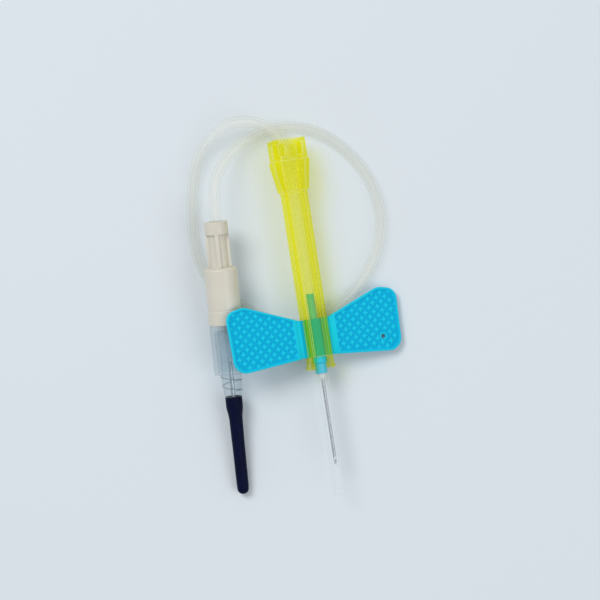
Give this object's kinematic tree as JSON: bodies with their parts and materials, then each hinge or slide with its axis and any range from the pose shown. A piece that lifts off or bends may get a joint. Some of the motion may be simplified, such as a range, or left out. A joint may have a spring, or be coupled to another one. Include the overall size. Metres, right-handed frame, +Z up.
{
  "type": "butterfly blood collection set",
  "caption": "Winged needle set with a sliding needle shield, a capped needle, a coiled clear tube and a luer adapter with a rubber-sleeved rear needle.",
  "frame": {"origin": "under the middle of the set without its tube, on the surface it lies on", "axes": "+Y from the needle's point towards its hub, +Z up"},
  "size_m": [0.0403, 0.078, 0.0105],
  "materials": {
    "shield_yellow": "translucent moulded plastic",
    "wing_blue": "soft satin",
    "hub_blue": "satin",
    "needle_steel": "drawn",
    "milky_adhesive": "cured",
    "clear_plastic": "clear",
    "clear_tube": "clear, soft",
    "ivory_plastic": "satin",
    "black_rubber": "smooth"
  },
  "bodies": {
    "hub": {"wing_saddle": "wing_blue", "needle_hub": "hub_blue", "patient_needle": "needle_steel", "needle_adhesive": "milky_adhesive", "tubing": "clear_tube", "luer_connector": "ivory_plastic"},
    "shield": {"needle_shield": "shield_yellow"},
    "left_wing": {"wing_left": "wing_blue"},
    "right_wing": {"wing_right": "wing_blue"},
    "cover": {"needle_cover": "clear_plastic"},
    "adapter": {"luer_adapter": "clear_plastic", "stopper_needle": "needle_steel", "stopper_sleeve": "black_rubber"}
  },
  "joints": [
    {"name": "shield_slide", "type": "slide", "parent": "hub", "child": "shield", "axis": [0, -1, 0], "range_m": [0, 0.0245]},
    {"name": "left_wing_fold", "type": "hinge", "parent": "hub", "child": "left_wing", "pos_m": [-0.00134, -0.0041, 0.00649], "axis": [0, 1, 0], "range_deg": [0, 80], "stiffness_Nm_per_rad": 0.002},
    {"name": "right_wing_fold", "type": "hinge", "parent": "hub", "child": "right_wing", "pos_m": [0.00534, -0.0041, 0.00477], "axis": [0, -1, 0], "range_deg": [0, 80], "stiffness_Nm_per_rad": 0.002},
    {"name": "cover_pull_off", "type": "slide", "parent": "hub", "child": "cover", "axis": [0, -1, 0], "range_m": [0, 0.03]},
    {"name": "adapter_pull_off", "type": "slide", "parent": "hub", "child": "adapter", "axis": [-0.0537, -0.9917, -0.1167], "range_m": [0, 0.009]}
  ]
}
